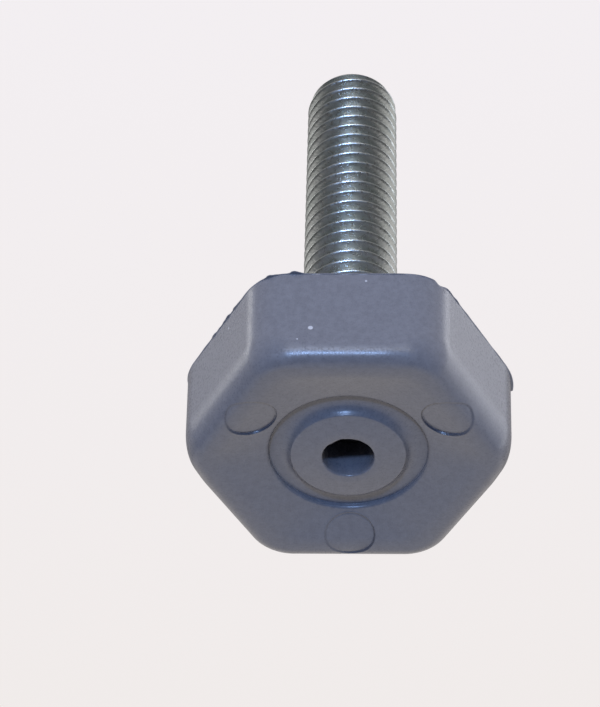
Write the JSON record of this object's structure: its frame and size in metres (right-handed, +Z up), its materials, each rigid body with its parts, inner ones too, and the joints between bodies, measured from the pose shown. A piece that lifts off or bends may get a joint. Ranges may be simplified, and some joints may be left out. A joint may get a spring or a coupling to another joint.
{
  "type": "refrigerator foot",
  "caption": "Adjustable appliance foot: moulded plastic hexagon with a hollow standing face, on an embedded threaded steel stud that screws up into the cabinet.",
  "frame": {"origin": "centre of the standing face, on the stud's axis", "axes": "+Z up along the stud, +X through a corner of the hexagon, +Y square to a flat"},
  "size_m": [0.0262, 0.0238, 0.0446],
  "materials": {
    "foot_plastic": "moulded, satin, blue-grey",
    "stud_steel": "rolled thread, bright zinc plated"
  },
  "bodies": {
    "root": {"foot_body": "foot_plastic", "threaded_stud": "stud_steel"}
  },
  "joints": []
}
